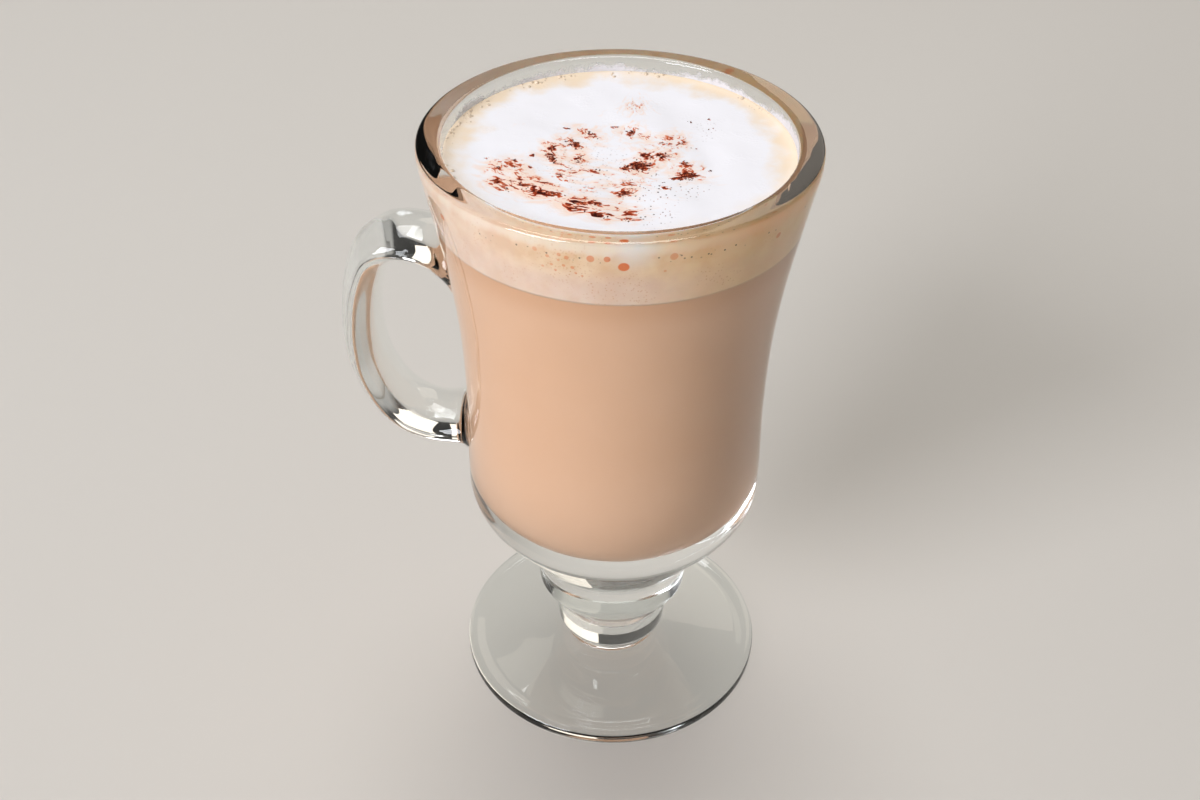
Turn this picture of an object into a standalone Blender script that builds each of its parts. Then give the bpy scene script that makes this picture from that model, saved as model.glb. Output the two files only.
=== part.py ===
"""A footed glass mug of milk coffee under a thick layer of milk foam, with cocoa strewn on the foam.

Metres, +Z up. The origin is the middle of the foot's flat underside, and the handle points along -X.
"""

import math
import random

import bmesh
import bpy
from mathutils import Euler, Matrix, Vector, noise

MM = 0.001

# The bowl of the glass, from the lip down
RIM_HEIGHT = 140.0 * MM
RIM_RADIUS = 39.5 * MM
LIP_WIDTH = 5.0 * MM
LIP_ROUNDING = 2.2 * MM
LIP_SQUARENESS = 5.0
WAIST_HEIGHT = 76.0 * MM
WAIST_RADIUS = 32.5 * MM
WALL = 3.5 * MM
FLARE_PULL = 26.0 * MM
FLARE_SLOPE = 0.19

# The hollow's rounded floor
FLOOR_HEIGHT = 48.0 * MM
FLOOR_FLAT_RADIUS = 12.0 * MM
FLOOR_RISE = 24.0 * MM

# The outside below the waist: each corner's radius, height and rounding
BELLY = (32.9 * MM, 61.0 * MM, 6.0 * MM)
SHOULDER = (32.9 * MM, 52.2 * MM, 13.0 * MM)
COLLAR_TOP = (17.6 * MM, 31.4 * MM, 12.0 * MM)
COLLAR_BOTTOM = (17.5 * MM, 23.0 * MM, 1.2 * MM)
RING_GROOVE = (12.7 * MM, 15.2 * MM, 0.6 * MM)
RING_TOP = (13.2 * MM, 13.0 * MM, 1.2 * MM)
RING_BOTTOM = (13.0 * MM, 8.6 * MM, 3.0 * MM)
NECK = (10.6 * MM, 5.6 * MM, 1.6 * MM)
FOOT_GROOVE = (31.3 * MM, 2.6 * MM, 3.0 * MM)
FOOT_BEAD = (34.0 * MM, 3.3 * MM, 1.6 * MM)
FOOT_EDGE = (35.7 * MM, 2.7 * MM, 1.3 * MM)
FOOT_UNDERSIDE = (35.7 * MM, 0.0, 1.2 * MM)

# The strap handle. Its centre line runs in the XZ plane, as distance from the axis and height.
# The third number is how much thicker the strap is there on each side, for its two roots.
STRAP_WIDTH = 16.6 * MM
STRAP_THICKNESS = 8.3 * MM
STRAP_SQUARENESS = 1.8
STRAP_LINE = (
    (29.0 * MM, 105.6 * MM, 1.2 * MM),
    (35.0 * MM, 110.7 * MM, 0.2 * MM),
    (38.5 * MM, 112.9 * MM, 0.0),
    (42.7 * MM, 114.1 * MM, 0.0),
    (46.7 * MM, 113.8 * MM, 0.0),
    (49.8 * MM, 112.0 * MM, 0.0),
    (52.3 * MM, 108.6 * MM, 0.0),
    (54.4 * MM, 101.0 * MM, 0.0),
    (55.2 * MM, 92.6 * MM, 0.0),
    (54.7 * MM, 84.9 * MM, 0.0),
    (53.1 * MM, 79.0 * MM, 0.0),
    (50.3 * MM, 73.5 * MM, 0.0),
    (46.3 * MM, 69.3 * MM, 0.0),
    (41.1 * MM, 67.1 * MM, 0.0),
    (35.4 * MM, 67.0 * MM, 0.3 * MM),
    (29.0 * MM, 68.0 * MM, 2.2 * MM),
)

# The drink, and the clearance kept between the solids
FILL_LINE = 124.0 * MM
FOAM_LEVEL = 136.5 * MM
FOAM_MENISCUS = 0.5 * MM
MENISCUS_REACH = 1.2 * MM
FOAM_LUMP = 0.35 * MM
FOAM_LUMP_SIZE = 11.0 * MM
CLEARANCE = 0.3 * MM

# Cocoa: each drift has its x, y, length and width in millimetres and its turn in degrees
COCOA_DRIFTS = (
    (-22.0, -9.5, 1.5, 0.9, 80),
    (-19.3, -9.1, 2.0, 1.2, 30),
    (-22.0, -14.2, 2.8, 1.0, -60),
    (-20.1, -17.2, 2.0, 1.2, -25),
    (-16.4, -15.2, 4.2, 1.4, -28),
    (-12.5, -14.7, 2.4, 1.3, -65),
    (-13.6, -17.6, 3.4, 1.4, -20),
    (-10.4, -18.1, 3.6, 1.5, -5),
    (-13.1, -0.9, 2.6, 1.2, 76),
    (-12.8, -4.3, 3.8, 1.4, -62),
    (-9.2, 1.5, 3.2, 2.2, -30),
    (-7.5, -3.6, 4.2, 0.9, 88),
    (-9.3, -8.3, 2.8, 1.0, 12),
    (-11.2, -11.1, 2.6, 0.9, 5),
    (-5.2, -21.1, 3.4, 1.5, 0),
    (-6.2, -22.9, 2.6, 1.2, -10),
    (-2.1, -20.4, 2.8, 1.3, -28),
    (-1.5, -24.4, 2.6, 1.7, 0),
    (0.6, -23.9, 1.8, 0.9, 12),
    (3.6, -25.0, 2.8, 1.5, 8),
    (4.0, -22.6, 1.6, 1.2, 60),
    (5.9, -24.6, 1.6, 1.0, -12),
    (2.3, -16.1, 2.4, 1.8, 35),
    (3.1, -11.5, 2.4, 1.1, 80),
    (1.4, -12.4, 3.2, 0.9, 5),
    (-3.2, -8.5, 2.6, 1.2, -15),
    (1.9, -6.6, 2.4, 1.4, 75),
    (4.3, -5.5, 3.6, 3.0, 10),
    (5.4, -1.6, 2.2, 1.5, -12),
    (8.1, -1.2, 3.0, 1.6, 15),
    (8.8, 3.9, 2.2, 1.4, -10),
    (11.3, 4.6, 2.0, 0.9, 60),
    (13.2, -3.2, 1.7, 1.3, 0),
    (14.1, -7.7, 3.0, 2.2, 25),
    (12.2, -9.2, 3.2, 1.2, 12),
    (10.0, -13.2, 1.6, 0.8, 0),
    (1.4, 7.5, 2.4, 1.6, 70),
    (-6.5, 6.4, 4.2, 1.0, -42),
    (-2.2, 9.7, 1.8, 0.6, 5),
    (12.4, 14.2, 1.8, 0.8, 30),
    (17.1, 11.6, 2.2, 0.6, 25),
    (14.1, 3.3, 2.4, 0.6, 5),
)
# One flake for each so many square millimetres of drift, and how far it stands out of the foam
FLAKE_AREA = 2.6
FLAKE_PROUD = 0.38 * MM
FLAKE_SEED = 11

# How finely the forms are cut
SEGMENTS = 48
ARC_STEPS = 4
FLOOR_STEPS = 7
FLARE_STEPS = 8
LIP_STEPS = 8
FOAM_RINGS = 11
STRAP_STEPS = 2
SECTION_POINTS = 16


def rounded(corners):
    """A (radius, height) outline through corners, each given as (radius, height, rounding)."""
    points = []
    for index, (r, z, rounding) in enumerate(corners):
        corner = Vector((r, z))
        if rounding == 0.0:
            points.append(corner)
            continue
        before = Vector(corners[index - 1][:2]) - corner
        after = Vector(corners[index + 1][:2]) - corner
        half_angle = before.angle(after) / 2
        reach = min(rounding / math.tan(half_angle), 0.49 * before.length, 0.49 * after.length)
        start = corner + before.normalized() * reach
        end = corner + after.normalized() * reach
        steps = max(2, round(ARC_STEPS * (math.pi - 2 * half_angle) / (math.pi / 2)))
        for step in range(steps + 1):
            t = step / steps
            points.append(start.lerp(corner, t).lerp(corner.lerp(end, t), t))
    return points


def bezier(start, pull_start, pull_end, end, steps):
    """The points after start on a cubic curve from start to end."""
    points = []
    for step in range(1, steps + 1):
        t = step / steps
        first = start.lerp(pull_start, t)
        middle = pull_start.lerp(pull_end, t)
        last = pull_end.lerp(end, t)
        points.append(first.lerp(middle, t).lerp(middle.lerp(last, t), t))
    return points


def flare(waist_radius, lip_radius, lip_height):
    """The wall's curve from the upright waist out to the lip, without its first point."""
    start = Vector((waist_radius, WAIST_HEIGHT))
    end = Vector((lip_radius, lip_height))
    slope = Vector((FLARE_SLOPE, 1.0)).normalized()
    return bezier(start, start + Vector((0, FLARE_PULL)), end - slope * FLARE_PULL, end, FLARE_STEPS)


def cavity_curve(inset):
    """The hollow's outline from the axis up to the lip, moved into the hollow by the inset."""
    wall_radius = WAIST_RADIUS - WALL - inset
    points = [Vector((0, FLOOR_HEIGHT + inset))]
    for step in range(FLOOR_STEPS + 1):
        turn = math.pi / 2 * step / FLOOR_STEPS
        r = FLOOR_FLAT_RADIUS + (wall_radius - FLOOR_FLAT_RADIUS) * math.sin(turn)
        z = FLOOR_HEIGHT + FLOOR_RISE - (FLOOR_RISE - inset) * math.cos(turn)
        points.append(Vector((r, z)))
    lip_radius = RIM_RADIUS - LIP_WIDTH - inset
    lip_height = RIM_HEIGHT - LIP_ROUNDING
    points.append(Vector((wall_radius, WAIST_HEIGHT)))
    points.extend(flare(wall_radius, lip_radius, lip_height))
    return points


def radius_at(curve, height):
    """The curve's radius at a height above the floor."""
    for low, high in zip(curve[1:], curve[2:]):
        if low.y <= height <= high.y:
            return low.lerp(high, (height - low.y) / (high.y - low.y)).x
    return curve[-1].x


def lip_arc():
    """The lip's flat top with its rounded corners, from the inner side over to the outer side."""
    half = LIP_WIDTH / 2
    power = 2 / LIP_SQUARENESS
    points = []
    for step in range(1, LIP_STEPS):
        turn = math.pi * (1 - step / LIP_STEPS)
        sideways = math.copysign(abs(math.cos(turn)) ** power, math.cos(turn))
        upwards = math.sin(turn) ** power
        points.append(Vector((RIM_RADIUS - half + half * sideways, RIM_HEIGHT - LIP_ROUNDING * (1 - upwards))))
    return points


def outer_curve():
    """The outside of the bowl, stem and foot, from the lip down to the axis under the foot."""
    wall = flare(WAIST_RADIUS, RIM_RADIUS, RIM_HEIGHT - LIP_ROUNDING)
    below = rounded(
        (
            (WAIST_RADIUS, WAIST_HEIGHT, 0.0),
            BELLY,
            SHOULDER,
            COLLAR_TOP,
            COLLAR_BOTTOM,
            RING_GROOVE,
            RING_TOP,
            RING_BOTTOM,
            NECK,
            FOOT_GROOVE,
            FOOT_BEAD,
            FOOT_EDGE,
            FOOT_UNDERSIDE,
            (0.0, 0.0, 0.0),
        )
    )
    return wall[::-1] + below


def foam_height(x, y):
    """The foam's surface: low soft lumps, and a rise where it clings to the glass."""
    from_axis = math.hypot(x, y)
    wall = radius_at(cavity_curve(CLEARANCE), FOAM_LEVEL)
    lumps = noise.noise(Vector((x, y, 0.0)) / FOAM_LUMP_SIZE)
    lumps += 0.4 * noise.noise(Vector((x, y, FOAM_LUMP_SIZE)) / (0.4 * FOAM_LUMP_SIZE))
    fade = 1 - (from_axis / wall) ** 4
    cling = FOAM_MENISCUS * math.exp((from_axis - wall) / MENISCUS_REACH)
    return FOAM_LEVEL + FOAM_LUMP * lumps * fade + cling


def clear_scene():
    for leftover in list(bpy.data.objects):
        bpy.data.objects.remove(leftover, do_unlink=True)


def new_collection(name):
    collection = bpy.data.collections.new(name)
    bpy.context.scene.collection.children.link(collection)
    return collection


def new_material(name, colour, roughness, transmission=0.0, ior=1.45):
    material = bpy.data.materials.new(name)
    material.use_nodes = True
    shader = material.node_tree.nodes["Principled BSDF"]
    shader.inputs["Base Color"].default_value = (*colour, 1.0)
    shader.inputs["Roughness"].default_value = roughness
    shader.inputs["Metallic"].default_value = 0.0
    shader.inputs["Transmission Weight"].default_value = transmission
    shader.inputs["IOR"].default_value = ior
    return material


def add_mesh_object(name, mesh, collection, material=None):
    obj = bpy.data.objects.new(name, mesh)
    collection.objects.link(obj)
    if material:
        mesh.materials.append(material)
    return obj


def turned(name, outline, collection, material=None):
    """A solid turned round the Z axis from an outline that starts and ends on it."""
    mesh = bpy.data.meshes.new(name)
    corners = [(point.x, 0.0, point.y) for point in outline]
    mesh.from_pydata(corners, [(i, i + 1) for i in range(len(corners) - 1)], [])
    obj = add_mesh_object(name, mesh, collection, material)
    screw = obj.modifiers.new("Turn", "SCREW")
    screw.steps = SEGMENTS
    screw.render_steps = SEGMENTS
    screw.use_merge_vertices = True
    screw.merge_threshold = 0.01 * MM
    screw.use_smooth_shade = True
    return obj


def made_real(obj):
    """Replaces an object by the plain mesh that its modifiers or its curve give."""
    bpy.context.view_layer.update()
    evaluated = obj.evaluated_get(bpy.context.evaluated_depsgraph_get())
    mesh = bpy.data.meshes.new_from_object(evaluated)
    real = bpy.data.objects.new(obj.name, mesh)
    real.matrix_world = obj.matrix_world
    obj.users_collection[0].objects.link(real)
    name = obj.name
    bpy.data.objects.remove(obj)
    real.name = name
    return real


def as_helper(obj):
    obj.hide_render = True
    obj.display_type = "WIRE"
    return obj


def boolean(obj, name, operation, other):
    modifier = obj.modifiers.new(name, "BOOLEAN")
    modifier.operation = operation
    modifier.object = other


def strap_line():
    """Points along a smooth curve through the strap's centre line, each with its extra thickness."""
    through = [Vector(point) for point in STRAP_LINE]
    padded = [2 * through[0] - through[1]] + through + [2 * through[-1] - through[-2]]
    points = []
    for before, start, end, after in zip(padded, padded[1:], padded[2:], padded[3:]):
        pull_start = start + (end - before) / 6
        pull_end = end - (after - start) / 6
        points.extend(bezier(start, pull_start, pull_end, end, STRAP_STEPS))
    return [through[0]] + points


def strap_ring(spot, along):
    """One cross-section of the strap, between an oval and a lozenge, square to its line."""
    through = Vector((-along.y, along.x)).normalized()
    power = 2 / STRAP_SQUARENESS
    ring = []
    for index in range(SECTION_POINTS):
        turn = 2 * math.pi * index / SECTION_POINTS
        wide = math.copysign(abs(math.cos(turn)) ** power, math.cos(turn)) * (STRAP_WIDTH / 2 + spot.z)
        deep = math.copysign(abs(math.sin(turn)) ** power, math.sin(turn)) * (STRAP_THICKNESS / 2 + spot.z)
        place = spot.xy + through * deep
        ring.append((-place.x, wide, place.y))
    return ring


def build_handle(collection):
    """The strap, lofted along its line and trimmed inside the wall."""
    line = strap_line()
    corners = []
    for before, spot, after in zip([line[0]] + line, line, line[1:] + [line[-1]]):
        corners.extend(strap_ring(spot, after - before))
    count = SECTION_POINTS
    faces = [tuple(range(count)), tuple(range(len(corners) - count, len(corners)))]
    for first in range(0, len(corners) - count, count):
        for index in range(count):
            beside = (index + 1) % count
            faces.append((first + index, first + beside, first + count + beside, first + count + index))
    mesh = bpy.data.meshes.new("handle")
    mesh.from_pydata(corners, [], faces)
    shape = bmesh.new()
    shape.from_mesh(mesh)
    bmesh.ops.recalc_face_normals(shape, faces=shape.faces)
    shape.to_mesh(mesh)
    shape.free()
    mesh.shade_smooth()
    strap = add_mesh_object("handle", mesh, collection)
    wall_middle = turned("wall_middle", middle_of_wall(), collection)
    as_helper(wall_middle)
    boolean(strap, "Stop inside the wall", "DIFFERENCE", wall_middle)
    return as_helper(strap)


def middle_of_wall():
    """An outline inside the bowl's wall, which trims the strap before it reaches the hollow."""
    into_wall = -1.6 * MM
    curve = cavity_curve(into_wall)
    return [Vector((0.0, curve[-1].y))] + curve[:0:-1] + [Vector((0.0, FLOOR_HEIGHT))]


def build_glass(parts, helpers):
    clear = new_material("clear_glass", (0.96, 0.97, 0.97), 0.02, transmission=1.0, ior=1.5)
    outline = cavity_curve(0.0) + lip_arc() + outer_curve()
    glass = turned("glass_mug", outline, parts, clear)
    boolean(glass, "Join the handle", "UNION", build_handle(helpers))
    return glass


def build_coffee(parts):
    milky = new_material("milk_coffee", (0.62, 0.40, 0.24), 0.25)
    side = cavity_curve(CLEARANCE)
    level = FILL_LINE - CLEARANCE / 2
    below = [point for point in side if point.y < level]
    rim = Vector((radius_at(side, level), level))
    outline = [Vector((0.0, level)), rim] + below[::-1]
    return turned("coffee", outline, parts, milky)


def foam_outline():
    side = cavity_curve(CLEARANCE)
    bottom = FILL_LINE + CLEARANCE / 2
    edge = radius_at(side, FOAM_LEVEL)
    turns = (math.pi / 2 * ring / FOAM_RINGS for ring in range(FOAM_RINGS + 1))
    top = [Vector((edge * math.sin(turn), FOAM_LEVEL)) for turn in turns]
    between = [point for point in side if bottom < point.y < FOAM_LEVEL]
    return top + between[::-1] + [Vector((radius_at(side, bottom), bottom)), Vector((0.0, bottom))]


def make_flake(name, place, size, turn, rng, collection):
    """A flat, crooked crumb of cocoa, half sunk in the foam."""
    shape = bmesh.new()
    stretch = Matrix.Diagonal((size.x / 2, size.y / 2, size.z, 1.0))
    bmesh.ops.create_icosphere(shape, subdivisions=1, radius=1.0, matrix=stretch)
    for vert in shape.verts:
        vert.co *= rng.uniform(0.8, 1.15)
    tilt = Euler((rng.uniform(-0.12, 0.12), rng.uniform(-0.12, 0.12), turn))
    shape.transform(Matrix.Translation(place) @ tilt.to_matrix().to_4x4())
    mesh = bpy.data.meshes.new(name)
    shape.to_mesh(mesh)
    shape.free()
    return add_mesh_object(name, mesh, collection)


def strew_cocoa(collection):
    """Fills each drift with flakes, the longest first and the rest scattered along it."""
    rng = random.Random(FLAKE_SEED)
    for index, (x, y, length, width, degrees) in enumerate(COCOA_DRIFTS):
        turn = math.radians(degrees)
        along = Vector((math.cos(turn), math.sin(turn)))
        across = Vector((-along.y, along.x))
        count = max(1, round(length * width / FLAKE_AREA))
        for part in range(count):
            offset = (part - (count - 1) / 2) * length / count
            side = rng.uniform(-0.25, 0.25) * width * (count > 1)
            spot = (Vector((x, y)) + along * offset + across * side) * MM
            size = Vector((1.15 * length / count, width, 0.0)) * MM
            size.z = FLAKE_PROUD * rng.uniform(0.8, 1.1)
            place = Vector((spot.x, spot.y, foam_height(spot.x, spot.y)))
            make_flake(f"flake_{index}_{part}", place, size, turn + rng.uniform(-0.3, 0.3), rng, collection)


def build_foam(parts):
    creamy = new_material("milk_foam", (0.93, 0.88, 0.82), 0.6)
    foam = turned("milk_foam", foam_outline(), parts, creamy)
    foam = made_real(foam)
    for vert in foam.data.vertices:
        if vert.co.z > FOAM_LEVEL - 0.01 * MM:
            vert.co.z = foam_height(vert.co.x, vert.co.y)
    flakes = new_collection("flakes")
    strew_cocoa(flakes)
    join = foam.modifiers.new("Join the cocoa", "BOOLEAN")
    join.operation = "UNION"
    join.operand_type = "COLLECTION"
    join.collection = flakes
    foam = made_real(foam)
    for flake in list(flakes.objects):
        bpy.data.objects.remove(flake)
    bpy.data.collections.remove(flakes)
    return foam


def smooth(obj, degrees):
    obj.data.shade_smooth()
    obj.data.set_sharp_from_angle(angle=math.radians(degrees))


def main():
    clear_scene()
    parts = new_collection("cappuccino")
    helpers = new_collection("cutters")
    build_glass(parts, helpers)
    coffee = build_coffee(parts)
    foam = build_foam(parts)
    for solid in (coffee, foam):
        smooth(solid, 35)


main()
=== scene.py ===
# %% [markdown]
# # A cappuccino in a footed glass mug
# This lesson dresses a CAD model of milk coffee under thick foam, in a pressed glass mug with a stem, a
# round foot and a strap handle. Each of its three solids is replaced by a finer piece of the same form and
# size, which gets its own finish.

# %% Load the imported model
import math
import random

import bmesh
import bpy
import numpy as np
from mathutils import Matrix, Vector, noise


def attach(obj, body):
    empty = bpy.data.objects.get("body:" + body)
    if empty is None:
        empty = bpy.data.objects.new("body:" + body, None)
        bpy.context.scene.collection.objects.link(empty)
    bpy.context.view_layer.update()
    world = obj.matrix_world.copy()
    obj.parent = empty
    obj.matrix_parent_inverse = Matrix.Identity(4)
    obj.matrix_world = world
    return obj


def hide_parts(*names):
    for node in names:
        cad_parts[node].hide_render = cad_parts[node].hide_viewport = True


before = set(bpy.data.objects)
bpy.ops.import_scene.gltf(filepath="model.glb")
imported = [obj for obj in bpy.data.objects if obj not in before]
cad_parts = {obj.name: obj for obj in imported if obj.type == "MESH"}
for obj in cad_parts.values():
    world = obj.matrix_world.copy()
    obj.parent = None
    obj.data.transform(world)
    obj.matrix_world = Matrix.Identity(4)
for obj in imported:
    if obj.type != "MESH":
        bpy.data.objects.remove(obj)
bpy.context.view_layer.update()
scene = bpy.context.scene
MM = 0.001

# %% [markdown]
# ## The camera
# A camera is its place, the three turns that aim it, and its lens. These were worked out from how the round
# rim and the round foot look in the photograph, so that the render can be laid over it. It could be aimed by
# a constraint, but three turns in a product of matrices also give the slight roll.

# %% Place the camera
CAMERA_PLACE = Vector((0.0238, -0.2444, 0.2696))
CAMERA_TURN = math.radians(6.34)
CAMERA_DOWN = math.radians(38.44)
CAMERA_ROLL = math.radians(0.62)
LENS_MM = 42.5
SENSOR_MM = 36.0
NEAREST_SEEN = 10 * MM


def add_object(name, data):
    """Puts an object into the scene."""
    made = bpy.data.objects.new(name, data)
    scene.collection.objects.link(made)
    return made


camera = add_object("camera", bpy.data.cameras.new("camera"))
camera.data.lens = LENS_MM
camera.data.sensor_width = SENSOR_MM
camera.data.clip_start = NEAREST_SEEN
tilt = Matrix.Rotation(math.pi / 2 - CAMERA_DOWN, 4, "X")
turn = Matrix.Rotation(CAMERA_TURN, 4, "Z")
camera.matrix_world = Matrix.Translation(CAMERA_PLACE) @ turn @ tilt @ Matrix.Rotation(CAMERA_ROLL, 4, "Z")
scene.camera = camera
print("camera is", round(CAMERA_PLACE.length / MM), "mm from the foot")

# %% [markdown]
# ## Outlines
# A pressed glass is a turned form: one outline, run round the axis. It could be drawn by hand as a curve
# object, but then its sizes would be hidden in the file. Smooth curves, rounded corners and a squarish lip
# make all of it, so three small helpers are enough.

# %% Helpers for outlines
CORNER_STEPS = 44
LARGEST_REACH = 0.49


def curve_points(start, pull_start, pull_end, end, steps):
    """The points after start on a cubic curve from start to end."""
    points = []
    for step in range(1, steps + 1):
        t = step / steps
        middle = pull_start.lerp(pull_end, t)
        first = start.lerp(pull_start, t).lerp(middle, t)
        last = middle.lerp(pull_end.lerp(end, t), t)
        points.append(first.lerp(last, t))
    return points


def rounded(corners):
    """A (radius, height) outline through corners, each given as (radius, height, rounding)."""
    points = []
    for index, (r, z, rounding) in enumerate(corners):
        corner = Vector((r, z))
        if rounding == 0.0:
            points.append(corner)
            continue
        before = Vector(corners[index - 1][:2]) - corner
        after = Vector(corners[index + 1][:2]) - corner
        half_angle = before.angle(after) / 2
        reach = LARGEST_REACH * min(before.length, after.length)
        reach = min(rounding / math.tan(half_angle), reach)
        start = corner + before.normalized() * reach
        end = corner + after.normalized() * reach
        steps = max(4, round(CORNER_STEPS * (1 - 2 * half_angle / math.pi)))
        for step in range(steps + 1):
            t = step / steps
            points.append(start.lerp(corner, t).lerp(corner.lerp(end, t), t))
    return points


def squarish(value, squareness):
    """A sine or cosine for a form between a lozenge (1), a circle (2) and a square (many)."""
    return np.sign(value) * np.abs(value) ** (2 / squareness)


print("a corner has up to", CORNER_STEPS, "steps")

# %% [markdown]
# ## The bowl, stem and foot
# The wall flares to a thicker lip. The lip's nearly flat top mirrors light inside the glass, which gives the
# dark band and the glints below it. The hollow's floor is bowl-shaped and high above the stem, so the glass
# is thick there. Below come a collar, a groove, a ring and a thin foot with a bead along its edge. All sizes
# are the CAD model's, with finer steps. A row below the waist is a corner's radius, height, rounding, in mm.

# %% Sizes of the glass
RIM_HEIGHT = 140.0 * MM
RIM_RADIUS = 39.5 * MM
LIP_WIDTH = 5.0 * MM
LIP_ROUNDING = 2.2 * MM
LIP_SQUARENESS = 5.0
LIP_STEPS = 36
WAIST_HEIGHT = 76.0 * MM
WAIST_RADIUS = 32.5 * MM
WALL = 3.5 * MM
FLARE_PULL = 26.0 * MM
FLARE_SLOPE = 0.19
FLARE_STEPS = 40
FLOOR_HEIGHT = 48.0 * MM
FLOOR_FLAT_RADIUS = 12.0 * MM
FLOOR_RISE = 24.0 * MM
FLOOR_STEPS = 24
BELOW_WAIST = (
    (32.9, 61, 6),
    (32.9, 52.2, 13),
    (17.6, 31.4, 12),
    (17.5, 23, 1.2),
    (12.7, 15.2, 0.6),
    (13.2, 13, 1.2),
    (13, 8.6, 3),
    (10.6, 5.6, 1.6),
    (31.3, 2.6, 3),
    (34, 3.3, 1.6),
    (35.7, 2.7, 1.3),
    (35.7, 0, 1.2),
    (0, 0, 0),
)
print("the glass is", RIM_HEIGHT / MM, "mm high")


# %% Outline of the glass
def in_metres(rows):
    """A table in millimetres, turned into metres."""
    return [tuple(number * MM for number in row) for row in rows]


def flare(waist_radius, lip_radius):
    """The wall's curve from the upright waist out to the lip, without its first point."""
    start = Vector((waist_radius, WAIST_HEIGHT))
    end = Vector((lip_radius, RIM_HEIGHT - LIP_ROUNDING))
    slope = Vector((FLARE_SLOPE, 1.0)).normalized()
    return curve_points(start, start + Vector((0, FLARE_PULL)), end - slope * FLARE_PULL, end, FLARE_STEPS)


def hollow_outline(inset):
    """The hollow from the axis up to the lip, moved into the hollow by the inset."""
    side_radius = WAIST_RADIUS - WALL - inset
    points = [Vector((0, FLOOR_HEIGHT + inset))]
    for step in range(FLOOR_STEPS + 1):
        angle = math.pi / 2 * step / FLOOR_STEPS
        r = FLOOR_FLAT_RADIUS + (side_radius - FLOOR_FLAT_RADIUS) * math.sin(angle)
        z = FLOOR_HEIGHT + FLOOR_RISE - (FLOOR_RISE - inset) * math.cos(angle)
        points.append(Vector((r, z)))
    points.append(Vector((side_radius, WAIST_HEIGHT)))
    return points + flare(side_radius, RIM_RADIUS - LIP_WIDTH - inset)


def lip_outline():
    """The lip's flat top with its rounded corners, from the inner side over to the outer side."""
    half = LIP_WIDTH / 2
    points = []
    for step in range(1, LIP_STEPS):
        angle = math.pi * (1 - step / LIP_STEPS)
        r = RIM_RADIUS - half + half * squarish(math.cos(angle), LIP_SQUARENESS)
        z = RIM_HEIGHT - LIP_ROUNDING * (1 - squarish(math.sin(angle), LIP_SQUARENESS))
        points.append(Vector((r, z)))
    return points


lower_wall = rounded([(WAIST_RADIUS, WAIST_HEIGHT, 0.0)] + in_metres(BELOW_WAIST))
outer_wall = flare(WAIST_RADIUS, RIM_RADIUS)[::-1] + lower_wall
glass_outline = hollow_outline(0.0) + lip_outline() + outer_wall
print("the glass outline has", len(glass_outline), "points")

# %% [markdown]
# ## Turning an outline
# Blender's Screw modifier can turn an outline. Doing it in code gives the same mesh, and the same helpers
# for rings of points also serve the strap and the film. Faces are then made to look outwards.

# %% Helper that turns an outline
AROUND = 192


def add_piece(name, corners, faces, closed=True):
    """Puts a smooth mesh into the scene; the faces of a closed one are turned outwards."""
    mesh = bpy.data.meshes.new(name)
    mesh.from_pydata(corners, [], faces)
    if closed:
        shape = bmesh.new()
        shape.from_mesh(mesh)
        bmesh.ops.recalc_face_normals(shape, faces=shape.faces)
        shape.to_mesh(mesh)
        shape.free()
    mesh.shade_smooth()
    return add_object(name, mesh)


def ring_points(radius, height, around):
    """Points in a ring round the Z axis."""
    angles = np.arange(around) * 2 * math.pi / around
    return zip(radius * np.cos(angles), radius * np.sin(angles), np.full(around, height))


def band_faces(first, rings, around):
    """Faces between rings of points, where first is the number of the first ring's first point."""
    faces = []
    for low in range(first, first + (rings - 1) * around, around):
        for index in range(around):
            beside = (index + 1) % around
            faces.append((low + index, low + beside, low + around + beside, low + around + index))
    return faces


def turned(name, outline, around=AROUND):
    """A closed piece turned round the Z axis from an outline that starts and ends on the axis."""
    corners = [(0.0, 0.0, outline[0].y)]
    for point in outline[1:-1]:
        corners.extend(ring_points(point.x, point.y, around))
    corners.append((0.0, 0.0, outline[-1].y))
    faces = band_faces(1, len(outline) - 2, around)
    last_ring = len(corners) - 1 - around
    for index in range(around):
        beside = (index + 1) % around
        faces.append((0, 1 + beside, 1 + index))
        faces.append((len(corners) - 1, last_ring + index, last_ring + beside))
    return add_piece(name, corners, faces)


glass = turned("glass", glass_outline)
print("turned glass:", len(glass.data.polygons), "faces")

# %% [markdown]
# ## The strap handle
# The handle is a flat strap, pressed in one piece with the wall. A curve object with a bevel could make it,
# but not the roots. So one cross-section, between an oval and a lozenge, is set along a smooth line. A row of
# the line is a distance from the axis, a height, and how much the strap swells there, in mm. At the wall,
# real glass has a small hollow fillet, so points near it are pushed outwards along it, in a quarter circle.

# %% Line of the strap
STRAP_STEPS = 9
STRAP_LINE = (
    (29, 105.6, 1.2),
    (35, 110.7, 0.2),
    (38.5, 112.9, 0),
    (42.7, 114.1, 0),
    (46.7, 113.8, 0),
    (49.8, 112, 0),
    (52.3, 108.6, 0),
    (54.4, 101, 0),
    (55.2, 92.6, 0),
    (54.7, 84.9, 0),
    (53.1, 79, 0),
    (50.3, 73.5, 0),
    (46.3, 69.3, 0),
    (41.1, 67.1, 0),
    (35.4, 67, 0.3),
    (29, 68, 1.6),
)


def smooth_line(points):
    """Points on a smooth curve through the given ones."""
    through = [Vector(point) for point in points]
    padded = [2 * through[0] - through[1]] + through + [2 * through[-1] - through[-2]]
    line = [through[0]]
    for before, start, end, after in zip(padded, padded[1:], padded[2:], padded[3:]):
        pull_start = start + (end - before) / 6
        pull_end = end - (after - start) / 6
        line.extend(curve_points(start, pull_start, pull_end, end, STRAP_STEPS))
    return np.array([tuple(point) for point in line])


strap_line = smooth_line(in_metres(STRAP_LINE))
print("the strap's line has", len(strap_line), "points")

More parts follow.
